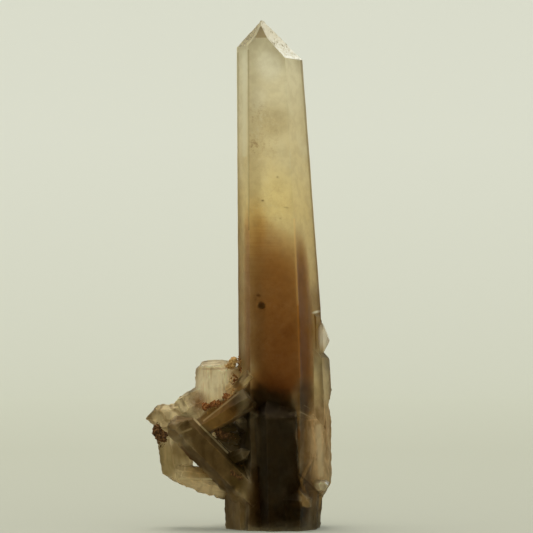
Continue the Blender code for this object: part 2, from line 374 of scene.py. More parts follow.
# The quartz's patterns. Its real etch pits and growth lines are mostly finer than 0.2 mm, too fine to show, so the
# finest of them are drawn 0.6 to 1.1 mm wide.
CLOUDS = Pattern(9.0, 4.0, 0.55)
MOTTLE = Pattern(2.4, 5.0, 0.6)
CURLS = Pattern(3.4, 2.0, 0.5, 0.9, (1.0, 1.0, 0.45))
GRIT = Pattern(1.1, 5.0, 0.75)
GRIT_PATCHES = Pattern(3.2, 3.0, 0.6)
END_PITS = Pattern(0.75, 5.0, 0.8)
FROST_PITS = Pattern(0.9, 5.0, 0.7)
HAZE_PATCHES = Pattern(5.0, 3.0)
FACE_LINES = Pattern(0.6, 3.0, squeeze=(0.06, 0.06, 1.0))
FACE_GRAIN = Pattern(0.8, 6.0, 0.7)


@dataclass(frozen=True)
class Zone:
    """A soft-edged patch of the quartz with a tint of its own.

    Attributes:
        name: What the patch is.
        centre: Its middle, in millimetres.
        reach: How far it goes along X, Y and Z, in millimetres.
        tint: Its sRGB hex colour.
        strength: How much of the tint shows at its middle.
        lean: Degrees that it leans to the right, as seen from the front.
        core: Share of its reach that has the full tint.
        frost: How frosted its face is, from 0 to 1.
        haze: How milky the quartz is there, from 0 to 1.
    """

    name: str
    centre: Place
    reach: Place
    tint: str
    strength: float = 1.0
    lean: float = 0.0
    core: float = 0.35
    frost: float = 0.0
    haze: float = 0.0

    def mask(self, net: Net, strength: float) -> Socket:
        """Makes the patch's mask.

        Args:
            net: The material's nodes.
            strength: Its value in the middle of the patch.

        Returns:
            The mask, which is zero outside the patch.
        """
        moved = net.add("VectorMath", net.place, mm(*self.centre), operation="SUBTRACT")
        turned = net.add("VectorRotate", moved, rotation_type="Y_AXIS", Angle=-math.radians(self.lean))
        shrunk = net.add("VectorMath", turned, mm(*self.reach), operation="DIVIDE")
        away = net.add("VectorMath", shrunk, operation="LENGTH")
        return net.add("MapRange", away, self.core, 1.0, strength, 0.0, **SMOOTH)


# Where the quartz is smokier, cleaner, stained, milky or frosted, from the top down; a few zones are painted shade
# in gaps, beside the pillar and under the flake, and painted highlights on the notch and the splinter.
TINT_ZONES = (
    Zone("glow_near_the_tip", (-0.6, -8, 136.5), (5.5, 6, 7.0), "fffaea", 0.6, haze=0.08),
    Zone("pale_cloud", (-4.1, -9, 126.4), (3.5, 5, 5.0), "fff8e4", 0.4, haze=0.08),
    Zone("left_narrow_face", (-9.0, -4, 126.0), (2.6, 9, 24.0), "fff8dc", 0.85),
    Zone("cloud_in_the_brown", (5.0, -8, 58.4), (3.0, 5, 3.6), "94682e", 0.5, lean=30),
    Zone("left_side_smoke", (-9.8, 0, 70.0), (2.6, 12, 46.0), "b0965e", 0.8, core=0.6),
    Zone("left_side_foot", (-9.0, -3, 49.0), (2.8, 12, 9.0), "86683c", 0.9, core=0.4),
    Zone("smudge_below_the_tip", (0.5, -8, 119.5), (6.5, 6, 7.0), "b09868", 0.6, lean=-20),
    Zone("gold_band", (1.0, -2, 98.0), (9.0, 16, 13.0), "ffe6a2", 0.9),
    Zone("gold_left", (-5.0, -9, 89.0), (4.6, 6, 12.0), "ffc860", 0.6),
    Zone("brown_right_edge", (9.2, -6, 61.0), (2.5, 14, 32.0), "a07624", 1.0, lean=-2, core=0.5),
    Zone("brown_right_flank", (12.6, 0, 62.0), (3.8, 9, 13.0), "7c561f", 0.85, lean=-3, core=0.5),
    Zone("brown_right_root", (9.0, -4, 38.5), (4.8, 12, 8.5), "4c3216", 0.95, core=0.5, haze=0.3),
    Zone("flank_rim", (16.4, -1, 44.0), (2.2, 9, 10.0), "f4e0b4", 0.8),
    Zone("blunt_block", (-17.0, -1, 43.4), (8.0, 12, 9.0), "fff0ce", 1.0, core=0.55, haze=0.25),
    Zone("block_top_line", (-17.0, -7, 47.2), (7.0, 6, 0.5), "a8865c", 0.6, lean=-2),
    Zone("block_rim", (-11.0, -3, 43.0), (3.0, 8, 7.0), "c8985c", 0.6),
    Zone("bead", (-12.8, -8, 41.0), (2.4, 4, 2.4), "b08c58", 0.8, core=0.4, haze=0.3),
    Zone("rough_crystal", (-27.0, -1, 35.5), (8.5, 12, 6.0), "f0deb4", 0.9, core=0.5, haze=0.35),
    Zone("rough_stain", (-21.0, -3, 37.0), (4.8, 9, 4.6), "7c4824", 0.9, core=0.25),
    Zone("rising_crystal", (-15.0, -8, 33.6), (12.0, 7, 4.6), "6c4c22", 1.0, lean=-35, core=0.7, haze=0.65),
    Zone("rising_tip", (-9.6, -9, 38.0), (4.4, 8, 4.2), "3a2c14", 0.9, lean=-35, core=0.3, haze=0.6),
    Zone("leaning_crystal", (-17.0, -8, 21.0), (18.0, 6.5, 7.4), "5c482a", 1.0, lean=45, core=0.7, haze=0.85),
    Zone("leaning_top", (-24.4, -8, 30.4), (6.6, 8, 4.6), "5a4628", 0.95, lean=45, core=0.6, haze=0.9),
    Zone("leaning_foot", (-10.6, -8, 13.6), (5.4, 6.0, 5.0), "463617", 0.95, core=0.5, haze=0.75),
    Zone("upright_crystal", (-31.6, -2, 20.0), (5.0, 9, 8.0), "a89264", 0.9, core=0.5, haze=0.4),
    Zone("upright_inner", (-27.0, -2, 24.0), (4.4, 9, 6.0), "a88e60", 0.8, core=0.5, haze=0.45),
    Zone("cross_crystal", (-21.5, -5, 16.6), (7.0, 6, 3.0), "b49664", 0.7, lean=10, haze=0.45),
    Zone("keel_crystal", (-20.0, -3, 12.2), (10.0, 8, 3.4), "f0d8ac", 0.8, lean=16, core=0.5, haze=0.35),
    Zone("hollow", (-11.6, -4, 27.0), (6.4, 9, 6.4), "302410", 1.0, core=0.7, haze=0.7),
    # Painted shade: the dark gap between the hollow crystal and the pillar.
    Zone("shade_in_the_gap_by_the_hollow", (-8.6, -6, 28.2), (2.4, 7, 2.8), "14140c", 1.0, haze=0.8),
    Zone("dusk_beside_the_brown", (-4.4, -8, 42.0), (2.4, 6, 5.5), "50381a", 0.75, lean=-22),
    # Painted shade: the dark gap under the rising crystal.
    Zone("shade_in_the_gap_under_the_rise", (-5.8, -8, 33.7), (2.8, 6, 1.8), "0e0d07", 0.9, haze=0.5),
    # Painted shade beside the pillar.
    Zone("shade_by_the_pillar", (-7.6, -5, 30.0), (3.0, 9, 15.0), "1e150b", 0.9, core=0.5, haze=0.4),
    Zone("pillar_left_face", (-5.4, -9, 26.0), (3.2, 5, 10.0), "3a321e", 0.8, haze=0.25),
    Zone("pillar_front_face", (0.8, -13, 22.0), (7.0, 5, 18.0), "2c1c08", 0.8, haze=0.08),
    Zone("wedge", (-10.2, -8, 20.8), (5.5, 6, 5.0), "32260f", 0.95, core=0.5, haze=0.6),
    Zone("left_foot", (-10.4, -4, 6.5), (5.6, 10, 11.0), "604a2a", 0.95, core=0.6, haze=0.5),
    Zone("foot", (3.0, -2, 0.0), (16.0, 16, 5.0), "1e150b", 0.9, core=0.4, haze=0.2),
    Zone("right_flank", (14.5, 0, 25.0), (9.0, 14, 17.0), "dcbc8e", 0.85, core=0.5, haze=0.45),
    # Painted shade: a darker brown on the flank's left part, beside the pillar.
    Zone("shade_on_the_flank_by_the_pillar", (9.2, -6, 24.5), (2.6, 14, 14.0), "9c7a4a", 0.9, core=0.3, haze=0.35),
    Zone("ochre_behind_the_flank", (7.6, -8, 28.4), (1.6, 8, 3.4), "7c4e22", 0.85, haze=0.3),
    Zone("veil_over_the_root", (4.4, -8, 30.6), (5.6, 8, 3.6), "4a4230", 0.7, haze=0.1),
    Zone("pillar_top", (-0.4, -8, 35.6), (5.6, 8, 3.6), "1e180e", 0.85, core=0.4),
    Zone("right_bead", (14.8, -8, 12.8), (3.1, 4, 2.5), "f6e6c2", 0.95, haze=0.48),
    Zone("right_flake", (9.9, -12, 8.8), (3.6, 4, 2.0), "b89a68", 0.9, lean=45, core=0.3, haze=0.4),
    # Painted shade under the flake.
    Zone("shade_under_the_flake", (7.8, -12, 5.4), (2.8, 5, 3.0), "1c1208", 0.95, core=0.3),
    Zone("right_foot", (12.5, -5, 4.0), (3.4, 6, 7.0), "4c3c24", 0.85, core=0.5, haze=0.3),
    # Painted highlight: a frosted white line along the step at the notch.
    Zone("highlight_on_the_notch", (13.2, -2, 63.8), (1.8, 8, 0.55), "fff8e4", 0.7, lean=-12, core=0.2, frost=0.8),
    # A pale splinter, with a painted highlight where the overhead light catches it.
    Zone("splinter", (15.8, -1, 56.8), (2.6, 4, 6.0), "ffe8c0", 0.9, frost=0.5),
)

# Where the faces are pitted, with rust in the pits.
PITTED_ZONES = (
    Zone("pits_down_the_front_edge", (-5.6, -10, 113.0), (3.6, 4, 5.0), "a47c44", 0.6),
    Zone("pits_in_the_smudge", (-4.4, -10, 122.4), (3.6, 4, 4.5), "9c7840", 0.6),
    Zone("pits_below_the_tip", (-2.6, -10, 116.0), (8.0, 4, 15.0), "b0905c", 0.45),
    Zone("pits_in_the_gold", (0.0, -10, 95.0), (9.0, 4, 14.0), "b88c4c", 0.25),
    Zone("pits_over_the_brown", (0.0, -10, 60.0), (9.0, 4, 24.0), "8a5c28", 0.25),
    Zone("pits_by_the_stain", (-22.0, -4, 37.0), (6.0, 6, 5.0), "7a4420", 0.6),
)

# Growth lines on the block and on the point, veins in the right flank, and ribs on the knob's broken end.
BLOCK_LINES = Zone("block_lines", (-17.0, -1, 43.0), (7.0, 12, 8.0), "d8b48c", 0.35, core=0.7)
PRISM_LINES = Zone("prism_lines", (-3.0, -8, 80.0), (8.0, 6, 20.0), "c49858", 0.25, core=0.3)
FLANK_VEINS = Zone("flank_veins", (13.0, -2, 27.0), (6.0, 14, 17.0), "a88860", 0.45, core=0.5)
LINED_ZONES = (
    (BLOCK_LINES, Pattern(0.9, 3.0, squeeze=(1.0, 1.0, 0.06)), (0.48, 0.62)),
    (PRISM_LINES, Pattern(0.7, 4.0, squeeze=(0.04, 0.04, 1.0)), (0.45, 0.65)),
    (FLANK_VEINS, Pattern(2.4, 3.0, distortion=1.2, squeeze=(1.0, 1.0, 0.3)), (0.50, 0.60)),
)
KNOB_RIBS = Zone("knob_ribs", (-31.6, -3, 33.0), (6.4, 9, 5.4), "a08858", 0.6, core=0.7)


@dataclass(frozen=True)
class Streak:
    """A thin line on the front of the quartz: a painted highlight along an edge, a stained edge, a healed crack or
    a painted glint.

    Attributes:
        name: What the line is.
        start: Where it starts, X and Z in millimetres.
        end: Where it ends, X and Z in millimetres.
        width: Half its width, in millimetres.
        tint: Its sRGB hex colour.
        strength: How much of the tint shows along its middle.
        haze: How far it scatters light instead of letting it pass.
    """

    name: str
    start: tuple[float, float]
    end: tuple[float, float]
    width: float
    tint: str
    strength: float
    haze: float = 0.0

    def mask(self, net: Net, strength: float) -> Socket:
        """Makes the line's mask.

        Args:
            net: The material's nodes.
            strength: Its value along the middle of the line.

        Returns:
            The mask, which is zero off the line and on the far side of the quartz.
        """
        start, end = mm(self.start[0], 0, self.start[1]), mm(self.end[0], 0, self.end[1])
        run = end - start
        flat = net.add("VectorMath", net.place, (1.0, 0.0, 1.0), operation="MULTIPLY")
        moved = net.add("VectorMath", flat, start, operation="SUBTRACT")
        along = net.add("VectorMath", moved, run / run.length_squared, operation="DOT_PRODUCT")
        nearest = net.add("VectorMath", run, net.add("Clamp", along), operation="SCALE")
        away = net.add("VectorMath", moved, nearest, operation="DISTANCE")
        line = net.add("MapRange", away, 0.25 * self.width * MM, self.width * MM, strength, 0.0, **SMOOTH)
        depth = net.add("SeparateXYZ", net.place, output="Y")
        front = net.add("MapRange", depth, 1.0 * MM, 3.0 * MM, 1.0, 0.0, **SMOOTH)
        return net.add("Math", front, line, operation="MULTIPLY")


# Painted highlights along edges, stained edges, healed cracks and a painted glint on the bead, from the top down.
STREAKS = (
    # Painted highlight along the left edge.
    Streak("highlight_on_the_left_edge", (-8.0, 140.0), (-8.0, 110.0), 1.1, "fffbe6", 0.6),
    Streak("rusty_left_end_edge", (-10.0, 142.3), (-3.5, 149.9), 0.35, "7c5c2c", 0.8),
    Streak("middle_end_face_edge", (-3.2, 149.6), (-1.8, 145.6), 0.3, "6c5430", 0.7),
    # Painted highlights along the rims of the end faces.
    Streak("highlight_on_the_left_end_rim", (-4.85, 145.2), (-3.2, 149.2), 0.4, "fff4d0", 0.9),
    Streak("highlight_on_the_left_shoulder", (-7.2, 142.1), (-4.85, 145.2), 0.4, "fff4d0", 0.9),
    Streak("highlight_on_the_right_end_rim", (3.8, 138.8), (8.8, 138.2), 0.45, "ffffff", 1.0),
    Streak("end_face_chip", (3.4, 144.3), (5.9, 141.9), 0.4, "6c5430", 0.9),
    Streak("dark_left_edge", (-6.95, 140.5), (-6.8, 88.0), 0.4, "8c7640", 0.6),
    Streak("stained_right_outline", (8.7, 138.0), (14.4, 64.0), 0.6, "7c5c20", 0.7),
    Streak("stained_left_outline", (-10.0, 140.0), (-9.8, 54.0), 0.45, "a08c58", 0.5),
    Streak("golden_front_edge", (6.5, 91.0), (7.5, 66.0), 0.5, "ffd890", 0.7, haze=0.2),
    Streak("golden_front_edge_below", (7.5, 66.0), (8.1, 45.0), 0.4, "e8a850", 0.6, haze=0.12),
    Streak("long_contact_crack", (8.0, 34.9), (11.7, 32.7), 0.22, "c8b088", 0.8, haze=0.55),
    Streak("short_contact_crack", (5.0, 34.2), (8.0, 34.9), 0.25, "7c6c50", 0.5, haze=0.2),
    Streak("lower_contact_crack", (7.0, 33.7), (10.4, 32.5), 0.4, "6e5c40", 0.5, haze=0.35),
    Streak("upper_contact_crack", (9.4, 36.6), (12.0, 34.9), 0.22, "a08a64", 0.5, haze=0.3),
    Streak("flank_growth_line", (12.3, 21.0), (10.3, 16.7), 0.5, "8a6c48", 0.5),
    Streak("stained_flank_outline", (17.3, 38.0), (17.4, 20.0), 0.4, "b08c50", 0.6),
    # Painted highlight along the leaning crystal's edge.
    Streak("highlight_on_the_leaning_edge", (-22.8, 32.6), (-13.0, 22.7), 0.4, "c8b488", 0.7),
    Streak("leaning_crystal_ledge", (-27.0, 28.6), (-23.6, 29.9), 0.45, "a08a60", 0.55),
    Streak("rising_crystal_edge", (-20.0, 32.1), (-9.8, 40.3), 0.35, "b09468", 0.6),
    Streak("flank_crack", (8.0, 16.5), (15.0, 9.4), 0.45, "3c2a16", 0.6),
    Streak("flank_pale_band", (13.6, 30.0), (14.4, 16.0), 1.3, "f4e2bc", 0.5),
    Streak("leaning_crystal_rust", (-26.4, 24.4), (-23.3, 20.4), 0.5, "4c2a12", 0.7),
    Streak("cross_crystal_top", (-27.2, 18.7), (-20.9, 18.4), 0.35, "5a4426", 0.5),
    Streak("cross_crystal_foot", (-28.3, 14.9), (-17.8, 14.8), 0.4, "f0e0b8", 0.7),
    # Painted highlight on the bead.
    Streak("bead_glint", (15.9, 13.8), (16.5, 13.4), 0.6, "ffffff", 1.0),
)


@dataclass(frozen=True)
class SmokyQuartz:
    """Natural smoky quartz, grown hazy: it passes light but blurs what lies behind it.

    Attributes:
        ior: Quartz's refractive index.
        smoke: Colour that the body's own absorption leans to.
        smoke_density: Absorption of the body, per metre.
        sheen: Tint of the reflection, which a dusty natural face keeps weak and warm.
        smoke_by_height: The body's tint from its foot to its apex, smokiest at the foot.
        top: Height that the tint runs up to, in millimetres.
        clean: Tint of the cleaner clouds.
        worn: Tint of the outer edges: whitened by tiny chips, and painted highlights along them.
        mottled: Tint of the mottles.
        smoky_curls: Tint of the smoky curls in the cluster and the foot.
        milky_curls: Tint of the milky curls among them.
        bruised: Tint of the pale bruises where the faces are pitted.
        frost: Colour of the etched end faces.
        dusty_frost: Its colour towards the apex, where dust has settled in it.
        dust: Heights between which the dust sets in, in millimetres.
        end_gold: Tint of the left end face.
        end_rust: Tint of the rust in its pits.
        end_smoke: Tints of the middle end face, from its foot to the apex.
        end_smoke_heights: Heights of that foot and of the apex, in millimetres.
        end_grey: Tint of the dust in the right end faces' pits.
        end_foot: Heights between which the end faces set in, in millimetres.
    """

    ior: float = 1.544
    smoke: str = "e4d4b0"
    smoke_density: float = 6.0
    sheen: str = "987848"
    smoke_by_height: tuple[tuple[float, str], ...] = ((0.0, "a08a60"), (0.2, "c0aa80"), (0.45, "d2b680"),
                                                      (0.62, "eed69c"), (0.8, "f4e3ba"), (1.0, "fff8e0"))
    top: float = 150.0
    clean: str = "efe8cc"
    worn: str = "fff4d8"
    mottled: str = "8a7044"
    smoky_curls: str = "8c7048"
    milky_curls: str = "fff0e0"
    bruised: str = "fff6e2"
    frost: str = "fffffc"
    dusty_frost: str = "e6e0d0"
    dust: tuple[float, float] = (139.0, 146.0)
    end_gold: str = "ffecb4"
    end_rust: str = "5c3c12"
    end_smoke: tuple[str, str] = ("90794a", "5a4828")
    end_smoke_heights: tuple[float, float] = (144.5, 149.5)
    end_grey: str = "b0a484"
    end_foot: tuple[float, float] = (136.0, 138.0)

    def material(self) -> bpy.types.Material:
        """Makes the material of the crystals' skin and body.

        Returns:
            The material.
        """
        net = Net("smoky_quartz_hazy")
        frost = self._frost(net)
        dust = net.add("MapRange", net.height, *(height * MM for height in self.dust), **SMOOTH)
        white = net.add("ValToRGB", dust, stops=((0.0, self.frost), (1.0, self.dusty_frost)))
        clear = net.add("Math", 1.0, self._haze(net), operation="SUBTRACT")
        unfrosted = net.add("MapRange", frost, 0.0, 1.0, 1.0, 0.2, **SMOOTH)
        net.fill(net.shader, {
            "Base Color": net.add("Mix", frost, self._tint(net), white, **COLOURS),
            "Roughness": self._roughness(net, frost),
            "Transmission Weight": net.add("Math", clear, unfrosted, operation="MULTIPLY"),
            "Normal": self._relief(net, frost),
            "IOR": self.ior,
            "Specular Tint": self.sheen,
        })
        net.absorb(self.smoke, self.smoke_density)
        return net.material

    def _tint(self, net: Net) -> Socket:
        """Tints the quartz by its height, its clouds, its zones and its lines, with painted highlights along its
        edges.

        Args:
            net: The material's nodes.

        Returns:
            The tint.
        """
        share = net.add("MapRange", net.height, 0.0, self.top * MM)
        tint = net.add("ValToRGB", share, stops=self.smoke_by_height)
        tint = net.add("Mix", CLOUDS.draw(net, 0.45, 0.7, 0.0, 0.35), tint, self.clean, **COLOURS)
        edge = net.add("Attribute", attribute_name=EDGE, output="Fac")
        # Pale outer edges: whitening by tiny chips, with painted highlights along the edges.
        worn = net.add("Math", edge, CLOUDS.draw(net, 0.45, 0.6, 0.1, 0.5), operation="MULTIPLY")
        tint = net.add("Mix", worn, tint, self.worn, **COLOURS)
        for zone in TINT_ZONES:
            tint = net.add("Mix", zone.mask(net, zone.strength), tint, zone.tint, **COLOURS)
        tint = net.add("Mix", MOTTLE.draw(net, 0.35, 0.62, 0.22, 0.0), tint, self.mottled, **DARKEN)
        cloudy = self._cluster(net)
        smoky = net.add("Math", cloudy, CURLS.draw(net, 0.30, 0.52, 0.4, 0.0), operation="MULTIPLY")
        milky = net.add("Math", cloudy, CURLS.draw(net, 0.52, 0.72, 0.0, 0.22), operation="MULTIPLY")
        tint = net.add("Mix", smoky, tint, self.smoky_curls, **DARKEN)
        tint = net.add("Mix", milky, tint, self.milky_curls, **GLEAM)
        # Painted highlights along the cluster's edges.
        glints = net.add("Math", edge, cloudy, operation="MULTIPLY")
        tint = net.add("Mix", net.add("Math", glints, 0.3, operation="MULTIPLY"), tint, "ffffff", **GLEAM)
        tint = self._end_tints(net, self._lines(net, self._pits(net, tint)))
        for streak in STREAKS:
            tint = net.add("Mix", streak.mask(net, streak.strength), tint, streak.tint, **COLOURS)
        return tint

    def _pits(self, net: Net, tint: Socket) -> Socket:
        """Adds pale bruises and rusty pits where the faces are pitted.

        Args:
            net: The material's nodes.
            tint: The tint so far.

        Returns:
            The new tint.
        """
        pits = net.add("Math", GRIT.draw(net, 0.48, 0.62), GRIT_PATCHES.draw(net, 0.42, 0.58, 0.25, 1.0),
                       operation="MULTIPLY")
        bruises = net.add("Math", GRIT.draw(net, 0.50, 0.36, 0.0, 0.8), GRIT_PATCHES.draw(net, 0.56, 0.40),
                          operation="MULTIPLY")
        for zone in PITTED_ZONES:
            patch = zone.mask(net, zone.strength)
            bruised = net.add("Math", patch, bruises, operation="MULTIPLY")
            pitted = net.add("Math", patch, pits, operation="MULTIPLY")
            tint = net.add("Mix", bruised, tint, self.bruised, **COLOURS)
            tint = net.add("Mix", pitted, tint, zone.tint, **DARKEN)
        return tint

    @staticmethod
    def _lines(net: Net, tint: Socket) -> Socket:
        """Draws the growth lines, veins and ribs.

        Args:
            net: The material's nodes.
            tint: The tint so far.

        Returns:
            The new tint.
        """
        moved = net.add("VectorMath", net.place, mm(-27.0, -4, 37.5), operation="SUBTRACT")
        rings = net.add("TexWave", moved, per_mm(9.0), 6.0, 2.0, 1.5, wave_type="RINGS",
                        rings_direction="SPHERICAL", output="Fac")
        drawn = [(zone, pattern.draw(net, *limits)) for zone, pattern, limits in LINED_ZONES]
        drawn.append((KNOB_RIBS, net.add("MapRange", rings, 0.55, 0.95, **SMOOTH)))
        for zone, lines in drawn:
            patch = net.add("Math", zone.mask(net, zone.strength), lines, operation="MULTIPLY")
            tint = net.add("Mix", patch, tint, zone.tint, **DARKEN)
        return tint

    @staticmethod
    def _haze(net: Net) -> Socket:
        """Marks the milky quartz and the cracks, which scatter light before it goes deep.

        Args:
            net: The material's nodes.

        Returns:
            The mask.
        """
        patches = [mark.mask(net, mark.haze) for mark in (*TINT_ZONES, *STREAKS) if mark.haze]
        haze = patches[0]
        for patch in patches[1:]:
            haze = net.add("Math", haze, patch, operation="MAXIMUM")
        return haze

    @staticmethod
    def _cluster(net: Net) -> Socket:
        """Marks the cluster of side crystals and the foot, which grew cloudier than the point.

        Args:
            net: The material's nodes.

        Returns:
            The mask.
        """
        across = net.add("SeparateXYZ", net.place, output="X")
        left = net.add("MapRange", across, -11 * MM, -9 * MM, 1.0, 0.0, **SMOOTH)
        low = net.add("MapRange", net.height, 34 * MM, 44 * MM, 1.0, 0.0, **SMOOTH)
        return net.add("Math", left, low, operation="MAXIMUM")

    def _end_faces(self, net: Net) -> tuple[Socket, Socket, Socket]:
        """Marks the end faces at the tip.

        Args:
            net: The material's nodes.

        Returns:
            The masks of those on the left, in the middle and on the right.
        """
        facing = net.add("NewGeometry", output="True Normal")
        sideways, upward = (net.add("SeparateXYZ", facing, output=axis) for axis in "XZ")
        tip = net.add("MapRange", net.height, *(height * MM for height in self.end_foot), **SMOOTH)
        ends = net.add("Math", net.add("MapRange", upward, 0.35, 0.5, **SMOOTH), tip, operation="MULTIPLY")
        left = net.add("Math", ends, net.add("MapRange", sideways, -0.45, -0.3, 1.0, 0.0, **SMOOTH),
                       operation="MULTIPLY")
        right = net.add("Math", ends, net.add("MapRange", sideways, 0.3, 0.45, **SMOOTH), operation="MULTIPLY")
        middle = net.add("Math", net.add("Math", ends, left, operation="SUBTRACT"), right, operation="SUBTRACT")
        return left, middle, right

    def _end_tints(self, net: Net, tint: Socket) -> Socket:
        """Tints the end faces: gold with rust in its pits on the left, and smoky in the middle.

        Args:
            net: The material's nodes.
            tint: The tint so far.

        Returns:
            The new tint.
        """
        left, middle, right = self._end_faces(net)
        up = net.add("MapRange", net.height, *(height * MM for height in self.end_smoke_heights), **SMOOTH)
        smoke = net.add("ValToRGB", up, stops=tuple(zip((0.0, 1.0), self.end_smoke)))
        rusty = net.add("Math", left, END_PITS.draw(net, 0.46, 0.56), operation="MULTIPLY")
        grey = net.add("Math", right, END_PITS.draw(net, 0.48, 0.62, 0.0, 0.5), operation="MULTIPLY")
        tint = net.add("Mix", left, tint, self.end_gold, **COLOURS)
        tint = net.add("Mix", net.add("Math", middle, 0.95, operation="MULTIPLY"), tint, smoke, **COLOURS)
        tint = net.add("Mix", rusty, tint, self.end_rust, **DARKEN)
        return net.add("Mix", grey, tint, self.end_grey, **DARKEN)

    def _frost(self, net: Net) -> Socket:
        """Marks the etched end faces at the tip, white on the right and only dusted on the left, and the frosted
        white of the painted highlights on the notch and the splinter.

        Args:
            net: The material's nodes.

        Returns:
            The mask.
        """
        left, _, right = self._end_faces(net)
        sides = net.add("Math", net.add("Math", left, 0.3, operation="MULTIPLY"), right, operation="ADD")
        frost = net.add("Math", sides, FROST_PITS.draw(net, 0.36, 0.56, 0.55, 1.0), operation="MULTIPLY")
        for zone in TINT_ZONES:
            if zone.frost:
                patch = net.add("Math", zone.mask(net, zone.strength), zone.frost, operation="MULTIPLY")
                frost = net.add("Math", frost, patch, operation="MAXIMUM")
        return frost

    def _roughness(self, net: Net, frost: Socket) -> Socket:
        """Makes the faces hazier in patches, and frosted at the ends.

        Args:
            net: The material's nodes.
            frost: Where the faces are frosted.

        Returns:
            The roughness.
        """
        more = net.add("Math", self._cluster(net), 0.1, operation="MULTIPLY")
        plain = net.add("Math", HAZE_PATCHES.draw(net, 0.35, 0.65, 0.46, 0.58), more, operation="ADD")
        return net.add("Math", plain, net.add("Math", frost, 0.75, operation="MULTIPLY"), operation="MAXIMUM")

    @staticmethod
    def _relief(net: Net, frost: Socket) -> Socket:
        """Adds growth lines across the faces and the grain of the etched ends.

        Args:
            net: The material's nodes.
            frost: Where the faces are frosted.

        Returns:
            The bumped normal.
        """
        lined = net.add("Bump", Strength=0.12, Distance=0.05 * MM, Height=FACE_LINES.draw(net))
        amount = net.add("MapRange", frost, 0.0, 0.6, 0.08, 0.7, **SMOOTH)
        return net.add("Bump", Strength=amount, Distance=0.15 * MM, Height=FACE_GRAIN.draw(net), Normal=lined)


@dataclass(frozen=True)
class PhantomTone:
    """Quartz that grew darker: it bends light as the quartz round it does, so only its colour shows.

    Attributes:
        name: The material's name.
        absorbed: Absorption of red, green and blue, per metre.
    """

    name: str
    absorbed: tuple[float, float, float]

    def material(self) -> bpy.types.Material:
        """Makes the material, whose colour comes from its depth alone.

        Returns:
            The material.
        """
        net = Net(self.name)
        net.fill(net.shader, {"Base Color": "ffffff", "Roughness": 0.0, "IOR": 1.0, "Transmission Weight": 1.0})
        density = max(self.absorbed)
        net.absorb((*(1 - value / density for value in self.absorbed), 1.0), density)
        return net.material


class Oxide(Enum):
    """The iron oxides that crust the gaps: each its material's name, deep, middle and pale colours, and slot."""

    OCHRE = ("limonite_ochre", "6c4822", "c89c5c", "ffe2a8", OCHRE_SLOT)
    RUSTY_OCHRE = ("limonite_rusty", "3c200c", "8a5428", "c89458", OCHRE_SLOT)
    RUST = ("goethite_rust", "1c1006", "5a3c1e", "b07e4a", RUST_SLOT)

    @property
    def slot(self) -> str:
        """The record's slot that this oxide belongs to."""
        return self.value[4]

    def material(self) -> bpy.types.Material:
        """Makes the oxide: matt, powdery and uneven, because it dried from seeping water grain by grain.

        Returns:
            The material, which all pieces of this oxide share.
        """
        name, deep, middle, pale, _ = self.value
        if name in bpy.data.materials:
            return bpy.data.materials[name]
        net = Net(name)
        share = net.add("MapRange", Pattern(0.7, 6.0, 0.75).draw(net), 0.3, 0.7)
        powder = Pattern(0.25, 4.0).draw(net)
        net.fill(net.shader, {
            "Base Color": net.add("ValToRGB", share, stops=((0.0, deep), (0.5, middle), (1.0, pale))),
            "Roughness": 0.9,
            "Specular IOR Level": 0.3,
            "Normal": net.add("Bump", Strength=0.6, Distance=0.08 * MM, Height=powder),
        })
        return net.material


@dataclass(frozen=True)
class SealedIron:
    """Iron mineral sealed in the quartz: dull, and browner than it is because it is seen through smoke.

    Attributes:
        dark: Colour of its darker speckles.
        pale: Colour of its paler ones.
    """

    dark: str = "4a3416"
    pale: str = "75552c"

    def material(self) -> bpy.types.Material:
        """Makes the material of the flecks.

        Returns:
            The material.
        """
        net = Net("sealed_iron_fleck")
        speckle = net.add("ValToRGB", Pattern(0.7, 4.0).draw(net), stops=((0.3, self.dark), (0.7, self.pale)))
        net.fill(net.shader, {"Base Color": speckle, "Roughness": 0.7})
        return net.material


# --- Pieces ------------------------------------------------------------------------------------------


# Wear that moves the faces: the group of vertices, relief in millimetres, and the texture's name, kind, feature
# size in millimetres and other settings.
WEAR = (
    ("free", 0.16, "slow_growth_waves", "CLOUDS", 7.0, {"noise_depth": 1}),
    ("etched", 0.45, "etch_pits", "CLOUDS", 0.9, {"noise_depth": 3, "noise_type": "HARD_NOISE"}),
    ("broken", 0.55, "conchoidal_ribs", "WOOD", 5.0, {"wood_type": "BANDNOISE", "turbulence": 12.0}),
    ("cluster", 0.7, "cluster_dents", "CLOUDS", 2.6, {"noise_depth": 3}),
    ("nicked", 0.4, "edge_nicks", "CLOUDS", 0.9, {"noise_depth": 2, "contrast": 1.6}),
)


